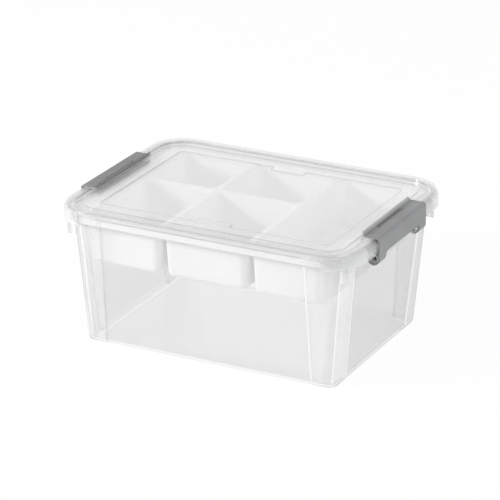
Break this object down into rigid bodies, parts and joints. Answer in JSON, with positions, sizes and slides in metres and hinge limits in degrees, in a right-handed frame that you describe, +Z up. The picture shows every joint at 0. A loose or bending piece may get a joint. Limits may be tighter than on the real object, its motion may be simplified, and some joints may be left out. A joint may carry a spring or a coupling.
{
  "type": "storage box with tray",
  "caption": "Clear tapered storage bin with a clip-on lid, a lift-out tray of divided cups and two hinged end clips.",
  "frame": {"origin": "centre of the bottom of the bin, on the surface it stands on", "axes": "+X along the length towards the right clip, +Y from the front long side to the back, +Z up"},
  "size_m": [0.3996, 0.291, 0.1828],
  "materials": {
    "clear_plastic": "clear",
    "lid_plastic": "clear",
    "tray_plastic": "translucent satin",
    "clip_plastic": "satin"
  },
  "bodies": {
    "bin": {"bin": "clear_plastic"},
    "lid": {"lid": "lid_plastic"},
    "tray": {"tray": "tray_plastic"},
    "left_clip": {"left_clip": "clip_plastic"},
    "right_clip": {"right_clip": "clip_plastic"}
  },
  "joints": [
    {"name": "lid_lift", "type": "slide", "parent": "bin", "child": "lid", "axis": [0, 0, 1], "range_m": [0, 0.36]},
    {"name": "tray_lift", "type": "slide", "parent": "bin", "child": "tray", "axis": [0, 0, 1], "range_m": [0, 0.3]},
    {"name": "right_clip_swing", "type": "hinge", "parent": "bin", "child": "right_clip", "pos_m": [0.1921, 0, 0.1514], "axis": [0, 1, 0], "range_deg": [0, 160]},
    {"name": "left_clip_swing", "type": "hinge", "parent": "bin", "child": "left_clip", "pos_m": [-0.1921, 0, 0.1514], "axis": [0, -1, 0], "range_deg": [0, 160]}
  ],
  "couplings": [
    {"joint": "tray_lift", "follows": "lid_lift", "ratio": 0.83333},
    {"joint": "right_clip_swing", "follows": "lid_lift", "rad_per_m": 7.75},
    {"joint": "left_clip_swing", "follows": "lid_lift", "rad_per_m": 7.75}
  ]
}
